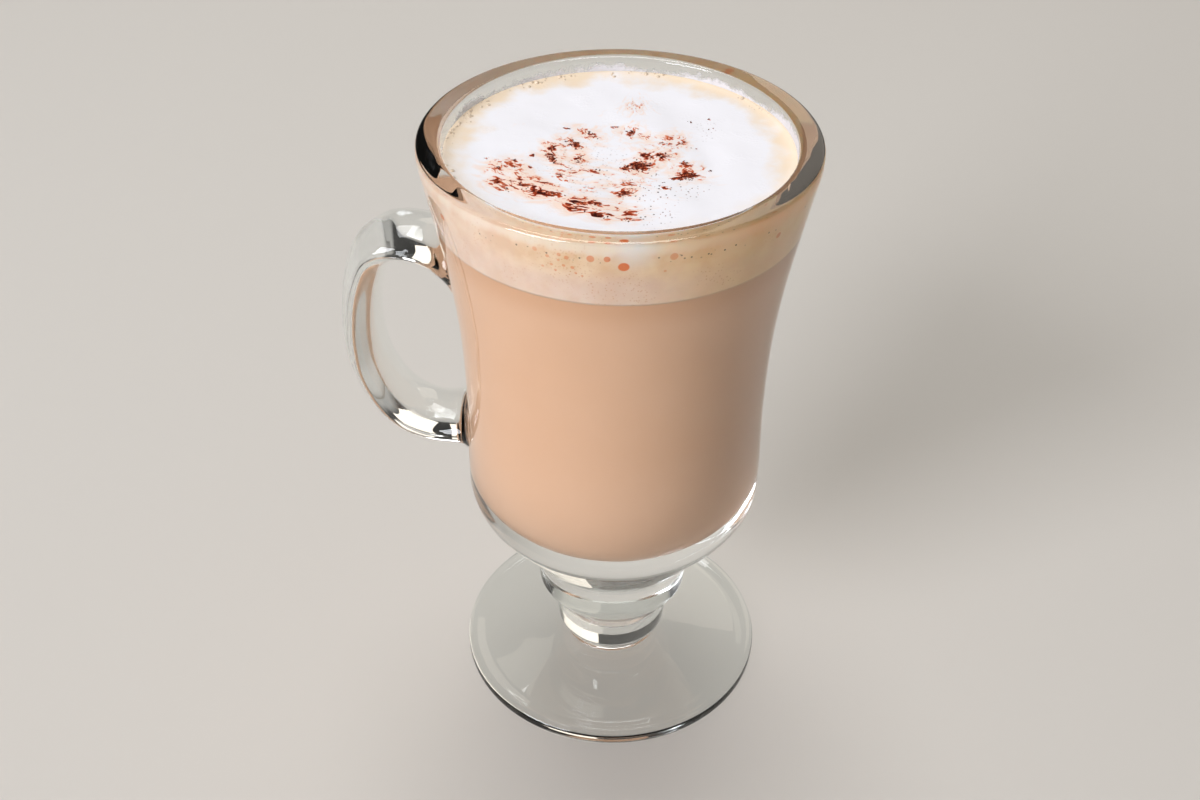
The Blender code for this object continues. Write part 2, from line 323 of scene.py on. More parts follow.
# %% Cross-sections of the strap
STRAP_WIDTH = 16.6 * MM
STRAP_THICKNESS = 8.3 * MM
STRAP_SQUARENESS = 1.8
SECTION_POINTS = 56
STRAP_FILLET = 1.6 * MM
FILLET_START = 0.12 * STRAP_FILLET
STRAP_ROOT_DEPTH = 1.3 * MM
NEVER_ZERO = 1e-9


def strap_rings(line):
    """The strap's cross-sections along its line, and the middle of each."""
    along = np.gradient(line[:, :2], axis=0)
    along /= np.linalg.norm(along, axis=1)[:, None]
    angle = np.arange(SECTION_POINTS) * 2 * math.pi / SECTION_POINTS
    across = squarish(np.cos(angle), STRAP_SQUARENESS)
    through = squarish(np.sin(angle), STRAP_SQUARENESS)
    deep = (STRAP_THICKNESS / 2 + line[:, 2:3]) * through
    out = line[:, 0:1] - along[:, 1:2] * deep
    height = line[:, 1:2] + along[:, 0:1] * deep
    wide = (STRAP_WIDTH / 2 + line[:, 2:3]) * across
    rings = np.stack([-out, wide, height], axis=-1)
    centres = np.stack([-line[:, 0], 0 * line[:, 0], line[:, 1]], axis=-1)
    return rings, centres


def radius_at(outline, height):
    """The radius of a rising outline at one or many heights."""
    return np.interp(height, [point.y for point in outline], [point.x for point in outline])


def with_fillet(rings, centres):
    """Pushes the points near the wall outwards along it, and keeps the roots inside the wall."""
    wall = outer_wall[::-1]
    radius = np.hypot(rings[..., 0], rings[..., 1])
    gap = np.clip(radius - radius_at(wall, rings[..., 2]), FILLET_START, STRAP_FILLET)
    push = STRAP_FILLET - np.sqrt(STRAP_FILLET**2 - (STRAP_FILLET - gap) ** 2)
    normal = np.stack([rings[..., 0] / radius, rings[..., 1] / radius, 0 * radius], axis=-1)
    away = rings - centres[:, None, :]
    away -= normal * np.sum(away * normal, axis=-1, keepdims=True)
    away /= np.linalg.norm(away, axis=-1, keepdims=True) + NEVER_ZERO
    pushed = rings + away * push[..., None]
    radius = np.hypot(pushed[..., 0], pushed[..., 1])
    least = radius_at(wall, pushed[..., 2]) - STRAP_ROOT_DEPTH
    pushed[..., :2] *= (np.maximum(radius, least) / radius)[..., None]
    return pushed


sections = with_fillet(*strap_rings(strap_line))
print("cross-sections:", len(sections))


# %% Loft the strap
def loft(name, rings):
    """A closed piece through rings of points, with a flat face at each end."""
    stations, count = rings.shape[:2]
    ends = [tuple(range(count)), tuple(range((stations - 1) * count, stations * count))]
    return add_piece(name, rings.reshape(-1, 3).tolist(), ends + band_faces(0, stations, count))


strap = loft("strap", sections)
print("strap:", len(strap.data.polygons), "faces")

# %% [markdown]
# On the real mug, strap and wall are one piece of glass. If the two meshes only overlapped, the faces inside
# would show through the clear glass. A Boolean union removes them and leaves one closed skin.

# %% Join the strap to the wall
union = glass.modifiers.new("Join the strap", "BOOLEAN")
union.operation = "UNION"
union.object = strap
joined = glass.evaluated_get(bpy.context.evaluated_depsgraph_get())
joined_mesh = bpy.data.meshes.new_from_object(joined)
glass.modifiers.clear()
glass.data = joined_mesh
bpy.data.objects.remove(strap)
glass.data.shade_smooth()
print("glass with its strap:", len(glass.data.polygons), "faces")

# %% [markdown]
# ## Shader maths in Python
# A material is a network of nodes. Long networks are hard to follow as clicks, so a small class wraps an
# output socket and gives it the signs +, -, * and **, and a sum in Python adds a Math node. A second class
# adds all other nodes, and a third holds one finish. Below, skin is the finish being made.


# %% The wire
def maths(operation, swapped=False):
    """A method for a wire, which adds a Math node."""

    def method(wire, other=0.0):
        node = wire.socket.id_data.nodes.new("ShaderNodeMath")
        node.operation = operation
        plug_in(node.inputs[0], other if swapped else wire)
        plug_in(node.inputs[1], wire if swapped else other)
        return Wire(node.outputs[0])

    return method


class Wire:
    """An output socket that can be used in sums and products."""

    __add__ = maths("ADD")
    __radd__ = maths("ADD", swapped=True)
    __sub__ = maths("SUBTRACT")
    __rsub__ = maths("SUBTRACT", swapped=True)
    __mul__ = maths("MULTIPLY")
    __rmul__ = maths("MULTIPLY", swapped=True)
    __pow__ = maths("POWER")
    __abs__ = maths("ABSOLUTE")
    at_least = maths("MAXIMUM")

    def __init__(self, socket):
        self.socket = socket


def plug_in(socket, value):
    """Sets a socket to a number or colour, or links a wire to it."""
    if isinstance(value, Wire):
        socket.id_data.links.new(value.socket, socket)
    elif isinstance(value, tuple) and len(value) == 3 and socket.type == "RGBA":
        socket.default_value = (*value, 1.0)
    else:
        socket.default_value = value


print("signs for wires: + - * ** and abs")


# %% The network
def set_stops(ramp, stops):
    """Gives a ramp its stops, each a value and a colour."""
    while len(ramp.elements) < len(stops):
        ramp.elements.new(1.0)
    for (place, colour), stop in zip(stops, ramp.elements):
        stop.position = place
        stop.color = (*colour, 1.0)


class Network:
    """The nodes of a finish or of the surroundings."""

    def __init__(self, tree):
        self.tree = tree

    def node(self, kind, inputs, output=0, stops=(), **settings):
        """Adds a node and gives one of its outputs."""
        made = self.tree.nodes.new(kind)
        for setting, value in settings.items():
            setattr(made, setting, value)
        if stops:
            set_stops(made.color_ramp, stops)
        for plug, value in inputs.items():
            plug_in(made.inputs[plug], value)
        return Wire(made.outputs[output])

    def axis(self, place, letter):
        """The X, Y or Z of a place."""
        return self.node("ShaderNodeSeparateXYZ", {"Vector": place}, letter)

    def ramp(self, value, *stops):
        """A colour for each value."""
        return self.node("ShaderNodeValToRGB", {"Fac": value}, "Color", stops)


def paint(red, green, blue):
    """A picture editor's colour, from 0 to 255, as the light that Blender counts."""
    shares = (red / 255, green / 255, blue / 255)
    return tuple(s / 12.92 if s <= 0.04045 else ((s + 0.055) / 1.055) ** 2.4 for s in shares)


print("mid grey is", round(paint(128, 128, 128)[0], 3))


# %% The finish
class Finish(Network):
    """A material with one Principled shader."""

    def __init__(self, name, **looks):
        self.material = bpy.data.materials.new(name)
        self.material.use_nodes = True
        super().__init__(self.material.node_tree)
        self.shader = self.tree.nodes["Principled BSDF"]
        self.set(**looks)

    def set(self, **looks):
        """Sets inputs of the shader, named with _ for each space."""
        for socket, value in looks.items():
            plug_in(self.shader.inputs[socket.replace("_", " ")], value)

    def put_on(self, piece):
        """Gives the material to a piece."""
        piece.data.materials.append(self.material)
        print(self.material.name, "has", len(self.tree.nodes), "nodes")

    def attribute(self, name):
        """A number stored on the mesh."""
        return self.node("ShaderNodeAttribute", {}, "Fac", attribute_name=name)

    def stand_in_for(self, kind_of_ray, other):
        """Lets one kind of ray meet another shader than the rest."""
        output = self.tree.nodes["Material Output"].inputs["Surface"]
        usual = Wire(output.links[0].from_socket)
        ray = self.node("ShaderNodeLightPath", {}, kind_of_ray)
        plug_in(output, self.node("ShaderNodeMixShader", {0: ray, 1: usual, 2: other}))

    def place(self):
        """The point on the surface, in metres from the middle of the foot."""
        return self.node("ShaderNodeTexCoord", {}, "Object")

    def noise(self, place, size, detail=3.0, roughness=0.5, twist=0.0):
        """Soft noise with features about as large as size, in metres, and curled by the twist."""
        inputs = {"Vector": place, "Scale": 1 / size, "Detail": detail, "Roughness": roughness}
        return self.node("ShaderNodeTexNoise", inputs | {"Distortion": twist}, "Fac")

    def cells(self, place, size, output="Distance"):
        """Distance from the middle of the nearest of many scattered cells, from 0 to about 1."""
        return self.node("ShaderNodeTexVoronoi", {"Vector": place, "Scale": 1 / size}, output)

    def between(self, value, low, high):
        """Rises smoothly from 0 to 1 as the value goes from low to high."""
        inputs = {"Value": value, "From Min": low, "From Max": high}
        return self.node("ShaderNodeMapRange", inputs, interpolation_type="SMOOTHSTEP")

    def near(self, place, centre, radius, softness=1.0):
        """1 close to a centre, and 0 beyond the radius; softness is the share of the radius that fades."""
        away = self.node("ShaderNodeVectorMath", {0: place, 1: centre}, "Value", operation="DISTANCE")
        return self.between(away, radius, radius * (1 - softness))

    def blend(self, first, second, share):
        """A mix of two colours."""
        return self.node("ShaderNodeMix", {0: share, 6: first, 7: second}, 2, data_type="RGBA")

    def relief(self, height, strength, depth):
        """The surface's direction, tilted as if the height stood out of it."""
        inputs = {"Height": height, "Strength": strength, "Distance": depth}
        return self.node("ShaderNodeBump", inputs, "Normal")


print("helpers of a finish:", [name for name in dir(Finish) if name[0] != "_"])

# %% [markdown]
# ## Clear glass
# Pressed glass bends light with an index of about 1.5 and is nearly colourless. It could be one Principled
# shader, but then lamps reach the coffee inside only by lucky paths and the render is noisy. So the rays
# that test for shade, and those that gather light for a matt surface, see a nearly clear filter instead.
# Glass from a mould is never quite even: a faint ripple bends the highlights, and wiping leaves faint marks.

# %% Finish of the glass
GLASS_BENDS = 1.5
POLISHED = 0.012
WIPED = 0.05
WIPE_STRETCH = (1.0, 1.0, 0.35)
WIPE_SIZE = 8 * MM
RIPPLE_SIZE = 13 * MM
RIPPLE_DEPTH = 0.35 * MM
LIGHT_LET_THROUGH = (0.955, 0.96, 0.957)

skin = Finish("clear_glass", Base_Color=paint(250, 253, 252), IOR=GLASS_BENDS, Transmission_Weight=1.0)
spot = skin.place()
wipe_marks = skin.node("ShaderNodeMapping", {"Vector": spot, "Scale": WIPE_STRETCH})
smudges = skin.between(skin.noise(wipe_marks, WIPE_SIZE, detail=5.0, twist=0.5), 0.5, 0.72)
ripples = skin.noise(spot, RIPPLE_SIZE, detail=1.0)
skin.set(Roughness=POLISHED + smudges * WIPED, Normal=skin.relief(ripples, 0.25, RIPPLE_DEPTH))
light_filter = skin.node("ShaderNodeBsdfTransparent", {"Color": LIGHT_LET_THROUGH})
skin.stand_in_for("Is Diffuse Ray", light_filter)
skin.stand_in_for("Is Shadow Ray", light_filter)
glass.data.materials.clear()
skin.put_on(glass)

# %% [markdown]
# ## The coffee
# Seen through the wall, the coffee is a plain body of milky brown. It could be given the hollow's own faces,
# but two skins in one place flicker, and a thin gap of air between them would mirror like a bubble. So the
# coffee is its own closed piece and reaches a hair's breadth into the wall. Its rim stays a sharp edge, since
# smooth shading across it would draw a band at the fill line.

# %% Turn the coffee
FILL_LINE = 124.0 * MM
INTO_WALL = 0.06 * MM
RIM_IS_SHARP = math.radians(40)

wet_side = hollow_outline(-INTO_WALL)
coffee_side = [point for point in wet_side if point.y < FILL_LINE]
coffee_rim = Vector((radius_at(wet_side, FILL_LINE), FILL_LINE))
coffee = turned("coffee", coffee_side + [coffee_rim, Vector((0.0, FILL_LINE))])
coffee.data.set_sharp_from_angle(angle=RIM_IS_SHARP)
print("coffee:", len(coffee.data.polygons), "faces")

# %% [markdown]
# Milk clouds the coffee, not quite evenly: it is paler low down, where milk has settled, and redder just
# under the foam. One plain colour would look painted, so the height and a soft noise blend four browns.

# %% Finish of the coffee
CLOUD_SIZE = 22 * MM
SETTLED_BAND = (48 * MM, 84 * MM)
REDDISH_BAND = (118 * MM, 125.5 * MM)
darker_coffee = paint(217, 169, 134)
paler_coffee = paint(225, 181, 149)
settled_milk = paint(226, 188, 160)
reddish_coffee = paint(203, 150, 112)

skin = Finish("milk_coffee", Roughness=0.3, IOR=1.34)
spot = skin.place()
height = skin.axis(spot, "Z")
clouds = skin.noise(spot, CLOUD_SIZE, detail=2.0)
low_down = 1 - skin.between(height, *SETTLED_BAND)
under_foam = skin.between(height + clouds * (3 * MM), *REDDISH_BAND)
colour = skin.blend(darker_coffee, paler_coffee, clouds)
colour = skin.blend(colour, settled_milk, low_down * 0.6)
colour = skin.blend(colour, reddish_coffee, under_foam * 0.55)
skin.set(Base_Color=colour)
skin.put_on(coffee)

# %% [markdown]
# ## The foam
# The foam fills the glass from the fill line to just below the lip. Its top is nearly level, with low soft
# lumps, and it clings a little to the wall. A sculpted mesh or a Displace modifier could give the lumps, but
# a rule in code is the same on every mesh: the one of the CAD model shapes this finer one too.

# %% Shape the foam
FOAM_LEVEL = 136.5 * MM
FOAM_MENISCUS = 0.5 * MM
MENISCUS_REACH = 1.2 * MM
FOAM_LUMP = 0.35 * MM
FOAM_LUMP_SIZE = 11.0 * MM
FINE_LUMPS = 0.4
FOAM_RINGS = 110
FOAM_AROUND = 288
CAD_CLEARANCE = 0.3 * MM
INTO_COFFEE = 0.02 * MM
BELOW_TOP = 1 * MM
foam_wall = radius_at(hollow_outline(CAD_CLEARANCE), FOAM_LEVEL)


def foam_height(x, y):
    """The foam's surface: low soft lumps, and a rise where it clings to the glass."""
    from_axis = math.hypot(x, y)
    lumps = noise.noise(Vector((x, y, 0.0)) / FOAM_LUMP_SIZE)
    lumps += FINE_LUMPS * noise.noise(Vector((x, y, FOAM_LUMP_SIZE)) / (FINE_LUMPS * FOAM_LUMP_SIZE))
    fade = max(0.0, 1 - (from_axis / foam_wall) ** 4)
    cling = FOAM_MENISCUS * math.exp(min(0.0, from_axis - foam_wall) / MENISCUS_REACH)
    return FOAM_LEVEL + FOAM_LUMP * lumps * fade + cling


foam_edge = radius_at(wet_side, FOAM_LEVEL + FOAM_MENISCUS)
foam_top = [Vector((foam_edge * ring / FOAM_RINGS, FOAM_LEVEL)) for ring in range(FOAM_RINGS + 1)]
foam_side = [point for point in wet_side if FILL_LINE < point.y < FOAM_LEVEL - BELOW_TOP]
foam_foot = Vector((radius_at(wet_side, FILL_LINE), FILL_LINE - INTO_COFFEE))
foam = turned("foam", foam_top + foam_side[::-1] + [foam_foot, Vector((0.0, foam_foot.y))], FOAM_AROUND)
for vert in foam.data.vertices:
    if vert.co.z > FOAM_LEVEL - BELOW_TOP / 2:
        vert.co.z = foam_height(vert.co.x, vert.co.y)
foam.data.set_sharp_from_angle(angle=RIM_IS_SHARP)
print("foam:", len(foam.data.polygons), "faces")

# %% [markdown]
# ## Where the cocoa lies
# The cocoa was shaken over the foam and lies in drifts: small crumbly patches, each longer one way than the
# other. They could be painted by hand, but a table is easier to change. A row is a patch's x and y, its
# length and width, all in mm, its turn in degrees, and how thickly it lies. Larger patches say where fine
# dust lies round them, and where single specks fell.

# %% The drifts
COCOA_DRIFTS = (
    (-22, -9.5, 1.5, 0.9, 80, 0.6),
    (-19.3, -9.1, 2, 1.2, 30, 0.45),
    (-22, -14.2, 2.8, 1, -60, 0.8),
    (-20.1, -17.2, 2, 1.2, -25, 0.78),
    (-16.4, -15.2, 4.2, 1.4, -28, 0.5),
    (-12.5, -14.7, 2.4, 1.3, -65, 0.65),
    (-13.6, -17.6, 3.4, 1.4, -20, 0.7),
    (-10.4, -18.1, 3.6, 1.5, -5, 0.95),
    (-13.1, -0.9, 2.6, 1.2, 76, 0.95),
    (-12.8, -4.3, 3.8, 1.4, -62, 1.1),
    (-9.2, 1.5, 3.2, 2.2, -30, 1.1),
    (-7.5, -3.6, 4.2, 0.9, 88, 0.95),
    (-9.3, -8.3, 2.8, 1, 12, 0.4),
    (-11.2, -11.1, 2.6, 0.9, 5, 0.5),
    (-5.2, -21.1, 3.4, 1.5, 0, 0.9),
    (-6.2, -22.9, 2.6, 1.2, -10, 0.8),
    (-2.1, -20.4, 2.8, 1.3, -28, 0.85),
    (-1.5, -24.4, 2.6, 1.7, 0, 1.1),
    (0.6, -23.9, 1.8, 0.9, 12, 0.5),
    (3.6, -25, 2.8, 1.5, 8, 0.7),
    (4, -22.6, 1.6, 1.2, 60, 0.5),
    (5.9, -24.6, 1.6, 1, -12, 0.6),
    (2.3, -16.1, 2.4, 1.8, 35, 1),
    (3.1, -11.5, 2.4, 1.1, 80, 0.7),
    (1.4, -12.4, 3.2, 0.9, 5, 0.5),
    (-3.2, -8.5, 2.6, 1.2, -15, 0.52),
    (1.9, -6.6, 2.4, 1.4, 75, 1),
    (4.3, -5.5, 3.6, 3, 10, 1.25),
    (5.4, -1.6, 2.2, 1.5, -12, 1.15),
    (8.1, -1.2, 3, 1.6, 15, 0.9),
    (8.8, 3.9, 2.2, 1.4, -10, 0.68),
    (11.3, 4.6, 2, 0.9, 60, 0.85),
    (13.2, -3.2, 1.7, 1.3, 0, 1),
    (14.1, -7.7, 3, 2.2, 25, 1.25),
    (12.2, -9.2, 3.2, 1.2, 12, 1),
    (10, -13.2, 1.6, 0.8, 0, 0.9),
    (1.4, 7.5, 2.4, 1.6, 70, 1.1),
    (-6.5, 6.4, 4.2, 1, -42, 0.8),
    (-2.2, 9.7, 1.8, 0.6, 5, 0.85),
    (12.4, 14.2, 1.8, 0.8, 30, 0.7),
    (16.5, 15.5, 0.8, 0.7, 0, 1),
    (17.1, 11.6, 2.2, 0.6, 25, 0.7),
    (14.1, 3.3, 2.4, 0.6, 5, 0.65),
    (17.8, -5.2, 0.8, 0.7, 0, 0.9),
    (-10.8, -6.8, 3.4, 0.8, -20, 0.5),
    (-19.5, -14.9, 1.6, 1, 60, 0.7),
    (-16.6, -4, 0.9, 0.8, 0, 1.15),
    (-16.3, -8.7, 0.8, 0.7, 0, 1),
    (-11.6, 7.7, 0.8, 0.6, 0, 1.15),
    (-25.2, -6.3, 0.9, 0.7, 30, 1),
    (-22, -9.4, 0.9, 0.7, 60, 1),
    (-19.6, -6.4, 0.9, 0.6, -40, 0.95),
    (-10.2, -11, 1.1, 0.9, 80, 1),
)
DUST_PATCHES = (
    (-21, -9.6, 8, 7, 75, 0.85),
    (-21.5, -14.5, 7, 4, -50, 0.85),
    (-15, -15.8, 13, 6, -28, 1.2),
    (-12.8, -2.4, 9, 3, -68, 1),
    (-9.6, 1.6, 6.5, 4.5, -30, 0.85),
    (-7.6, -4.6, 5.5, 1.6, 85, 0.9),
    (-6, -9.4, 13, 4, 0, 0.8),
    (-8.5, -12.8, 8, 5, -20, 0.62),
    (-4, -15, 10, 6, 10, 0.5),
    (-5.6, -21.4, 6.5, 4.8, -8, 1.2),
    (1.4, -22.6, 11, 6, 5, 0.95),
    (2.2, -13.6, 5.5, 9.5, 10, 0.85),
    (3.8, -5.5, 7.5, 6.5, 0, 0.9),
    (7.2, -0.8, 8, 5.5, 10, 0.85),
    (9.8, 4.8, 7, 5.5, 60, 0.75),
    (13.8, -6.4, 7, 7, 40, 0.8),
    (-6.6, 5.6, 7.5, 2.6, -48, 0.8),
    (1.2, 7.8, 6.5, 3.2, 80, 0.75),
    (5.5, 3, 5, 3, 30, 0.45),
    (-2, 10, 8, 4, 10, 0.35),
    (1.2, 19, 7, 4, 80, 0.58),
    (4.9, 6, 6.5, 1.6, -35, 0.75),
    (-6, -7.5, 20, 13, 0, 0.42),
    (5, -12, 13, 12, 0, 0.42),
)
SPECK_PATCHES = (
    (7.4, -16, 9, 21, 10, 1),
    (14.5, -12.5, 9, 10, 0, 0.5),
    (16.5, 11, 8, 14, 0, 0.3),
    (-5, -8, 34, 30, 0, 0.3),
)
print("drifts:", len(COCOA_DRIFTS), "patches of dust:", len(DUST_PATCHES))

# %% [markdown]
# From the patches a number is worked out for every point of the foam, and stored on the mesh for the foam's
# finish to read. The halo is the dust again with a wider, softer edge: the moist stain round the cocoa.


# %% Store how much cocoa lies at each point
def patch_sum(patches, x, y, spread):
    """How strongly soft oval patches cover points given in millimetres."""
    cover = np.zeros_like(x)
    for middle_x, middle_y, length, width, degrees, amount in patches:
        angle = math.radians(degrees)
        along = (x - middle_x) * math.cos(angle) + (y - middle_y) * math.sin(angle)
        across = (y - middle_y) * math.cos(angle) - (x - middle_x) * math.sin(angle)
        away = (along / (length / 2 + spread)) ** 2 + (across / (width / 2 + spread)) ** 2
        cover = np.maximum(cover, amount * np.exp(-(away**1.5)))
    return cover


spots = np.empty(len(foam.data.vertices) * 3)
foam.data.vertices.foreach_get("co", spots)
spots = spots.reshape(-1, 3) / MM
on_top = spots[:, 2] > (FOAM_LEVEL - BELOW_TOP) / MM
for name, patches, spread in (
    ("cocoa", COCOA_DRIFTS, 0.35),
    ("dust", DUST_PATCHES, 0.8),
    ("halo", DUST_PATCHES, 2.5),
    ("specks", SPECK_PATCHES, 0.0),
):
    cover = patch_sum(patches, spots[:, 0], spots[:, 1], spread) * on_top
    foam.data.attributes.new(name, "FLOAT", "POINT").data.foreach_set("value", cover)
    print(name, "covers", int(np.sum(cover > 0.5)), "points")

# %% [markdown]
# ## The foam's finish
# From above, the foam is white in the middle and cream near the glass, where coffee was drawn up with the
# milk. A painted picture could show this, but rules stay sharp at any size. The cream follows the distance
# from the axis, less at the front, and noise makes its inner edge ragged, as a clean circle would look drawn.

# %% Plain colours of the foam's top
WOBBLE_SIZE = 7 * MM
WOBBLE_REACH = 12 * MM
CREAM_BAND = (34 * MM, 40 * MM)
white_foam = paint(246, 244, 247)
cream_foam = paint(243, 222, 195)

skin = Finish("milk_foam", IOR=1.35, Specular_IOR_Level=0.15)
spot = skin.place()
x = skin.axis(spot, "X")
y = skin.axis(spot, "Y")
from_axis = (x * x + y * y) ** 0.5
wobble = skin.noise(spot, WOBBLE_SIZE, detail=5.0)
edge_cream = skin.between(from_axis + wobble * WOBBLE_REACH, *CREAM_BAND)
away_from_front = 0.25 + 0.75 * skin.between(y, -24 * MM, 2 * MM)
colour = skin.blend(white_foam, cream_foam, edge_cream * away_from_front)
print("nodes so far:", len(skin.tree.nodes))

# %% [markdown]
# Thick cocoa is nearly black, and where it is thin and wet it turns brown, then a rusty pink. Fine noise
# breaks each drift into crumbs and smears, so no drift shows as an oval. The noise is measured along arcs
# round a point behind the glass's axis and is a little longer along them, as the foam swirled when poured.

# %% Colours of the cocoa
SWIRL_MIDDLE = 28 * MM
SWIRL_STRETCH = 1.15
CRUMB_NOISE = 1.35 * MM
WAVE_NOISE = 3.0 * MM
damp_foam = paint(250, 218, 194)

cocoa = skin.attribute("cocoa")
dust = skin.attribute("dust")
halo = skin.attribute("halo")
behind = y - SWIRL_MIDDLE
swirl_angle = skin.node("ShaderNodeMath", {0: behind, 1: x}, operation="ARCTAN2")
swirl_radius = (x * x + behind * behind) ** 0.5
along_arc = swirl_angle * (SWIRL_MIDDLE / SWIRL_STRETCH)
arc = skin.node("ShaderNodeCombineXYZ", {"X": along_arc, "Y": swirl_radius})
crumbs = skin.noise(arc, CRUMB_NOISE, roughness=0.55, twist=1.5)
waves = skin.noise(arc, WAVE_NOISE, roughness=0.55, twist=1.3)
grain = skin.between(crumbs, 0.42, 0.64)
drift_shape = skin.between(waves, 0.34, 0.66)
strands = (1 - abs(waves - 0.5) * 16).at_least(0.0)
dusting = dust * (grain * (0.25 + 0.55 * drift_shape) + strands * 0.28)
level = dusting + cocoa * cocoa * (0.28 + 0.46 * grain)
tint = skin.between(halo + (waves - 0.5) * 1.8, 0.25, 1.1)
colour = skin.blend(colour, damp_foam, tint * 0.75)
rust = skin.ramp(
    level * 0.8,
    (0.22, paint(244, 182, 148)),
    (0.32, paint(220, 116, 74)),
    (0.46, paint(168, 60, 30)),
    (0.64, paint(104, 28, 13)),
    (0.86, paint(50, 12, 7)),
)
thickness = skin.between(level, 0.22, 0.4)
colour = skin.blend(colour, rust, thickness)
print("nodes so far:", len(skin.tree.nodes))

# %% [markdown]
# Single specks fell beside the drifts. Voronoi cells place them, and each cell's random colour is a draw for
# the speck's size and shade. Finer cells are the foam's pores. Pores and cocoa stand out by a bump, which is
# enough below a third of a millimetre.

# %% Specks, pores and relief of the foam's top
SPECK_CELL = 0.8 * MM
PORE_CELL = 0.55 * MM
PORE_PATCH = 6 * MM
RELIEF_DEPTH = 0.25 * MM

specks = skin.attribute("specks")
speck_distance = skin.cells(spot, SPECK_CELL)
cell_colour = skin.cells(spot, SPECK_CELL, "Color")
speck_draw = skin.node("ShaderNodeSeparateColor", {"Color": cell_colour})
speck_size = speck_draw * 0.14 + 0.1
speck_cover = skin.between(speck_distance, speck_size + 0.04, speck_size)
speck_colour = skin.ramp(
    speck_draw,
    (0.15, paint(190, 128, 98)),
    (0.6, paint(112, 52, 34)),
    (0.9, paint(62, 26, 18)),
)
colour = skin.blend(colour, speck_colour, speck_cover * skin.between(specks, 0.1, 0.6) * 0.9)

pores = skin.cells(spot, PORE_CELL)
pore_patches = skin.between(skin.noise(spot, PORE_PATCH), 0.48, 0.7)
relief = pores**0.5 * pore_patches * 0.5 + crumbs * thickness * 2.0
surface = skin.relief(relief, 0.35, RELIEF_DEPTH)
skin.set(Base_Color=colour, Roughness=0.85 - thickness * 0.1, Normal=surface)
skin.put_on(foam)

# %% [markdown]
# Through the wall, the foam's lower half is a greyish pink. Its upper half is warmer, most of all to the
# right, where the tan is partly a coffee stain and partly painted warm shade of the side away from the key
# light. Just under the lip it is pale again. Flat colours would look like card, so light scatters inside the
# foam, over a reach so short that the fill line stays crisp. In the end, each face is told which finish is
# its
# own: the top's faces are those that lie high and look upwards.

# %% Colours of the foam's side
MOTTLE_SIZE = 4 * MM
UPPER_BAND = (130.5 * MM, 136 * MM)
LIP_BAND = (136 * MM, 137.3 * MM)
UPPER_STAIN_AND_SHADE_BAND = (-19 * MM, -3 * MM)
STAIN_AND_SHADE_BAND = (6 * MM, 30 * MM)
SCATTER_REACH = 1.2 * MM
SCATTER_SHARES = (1.0, 0.72, 0.5)
lip_foam = paint(239, 222, 205)
stained_and_shaded_foam = paint(250, 204, 142)

skin = Finish("milk_foam_side", Roughness=0.45, IOR=1.35)
skin.set(Subsurface_Weight=0.8, Subsurface_Scale=SCATTER_REACH, Subsurface_Radius=SCATTER_SHARES)
spot = skin.place()
height = skin.axis(spot, "Z")
mottle = skin.noise(spot, MOTTLE_SIZE, detail=5.0)
sideways = skin.axis(spot, "X") + mottle * (8 * MM)
lower_mottle = skin.between(mottle, 0.3, 0.7)
lower_colour = skin.blend(paint(227, 196, 175), paint(233, 207, 189), lower_mottle)
upper_mottle = skin.between(mottle, 0.34, 0.66)
upper_colour = skin.blend(paint(230, 192, 152), paint(239, 211, 180), upper_mottle)
upper = skin.between(height + mottle * (5 * MM), *UPPER_BAND)
# Painted warm shade, partly a real coffee stain: the upper half turns warmer towards the shaded right.
stain_and_shade_share = 0.3 + 0.7 * skin.between(sideways, *UPPER_STAIN_AND_SHADE_BAND)
colour = skin.blend(lower_colour, upper_colour, upper * stain_and_shade_share)
closest_to_lip = skin.between(height + mottle * (1.5 * MM), *LIP_BAND)
colour = skin.blend(colour, lip_foam, closest_to_lip * 0.8)
# Painted warm shade, partly a real coffee stain: tan towards the shaded right.
stain_and_shade = skin.between(sideways, *STAIN_AND_SHADE_BAND)
colour = skin.blend(colour, stained_and_shaded_foam, stain_and_shade * 0.6)
print("nodes so far:", len(skin.tree.nodes))

# %% [markdown]
# The bubbles at the glass are mostly too fine to tell apart. Some gather as fizz or as a row of dark specks
# under the lip, and the orange brown of coffee shows through a large one. Pressed flat on the glass, they
# need no shape of their own, and spots of colour are enough. A row is a large one: its angle round the axis
# in degrees, its height and radius in mm, and how strongly it shows.

# %% The largest bubbles in the foam's side
SIDE_BUBBLES = (
    (-82.7, 133.5, 1.1, 0.9),
    (-92.1, 135, 0.75, 0.6),
    (-87.4, 135.1, 0.65, 0.7),
    (-68.5, 135.2, 0.8, 0.45),
    (-108.4, 135.3, 0.5, 0.35),
    (-106.5, 131.8, 0.3, 0.4),
    (-104.7, 134.4, 0.4, 0.45),
    (-103.7, 132.6, 0.35, 0.4),
    (-102.6, 131.4, 0.3, 0.45),
    (-101.2, 135.1, 0.4, 0.45),
    (-101.5, 133.9, 0.3, 0.4),
    (-100, 132.8, 0.35, 0.5),
    (-99, 134.7, 0.45, 0.5),
    (-97.4, 132.6, 0.4, 0.55),
    (-96.5, 131.4, 0.3, 0.4),
    (-94.7, 130.9, 0.25, 0.45),
    (-70.7, 132.1, 0.3, 0.4),
    (-31, 132.4, 0.7, 0.6),
    (12, 133.1, 0.9, 0.7),
    (16.5, 134.6, 0.5, 0.6),
    (64, 132, 0.8, 0.6),
    (105, 134.2, 1, 0.7),
    (109, 133, 0.5, 0.6),
    (152, 133.6, 0.7, 0.6),
    (-147, 132.2, 0.8, 0.6),
)
print("large ones:", len(SIDE_BUBBLES))


# %% Colour the bubbles in the foam's side
def on_the_wall(degrees, height):
    """The point of the hollow's wall at an angle round the axis and a height."""
    radius = radius_at(wet_side, height)
    angle = math.radians(degrees)
    return (radius * math.cos(angle), radius * math.sin(angle), height)


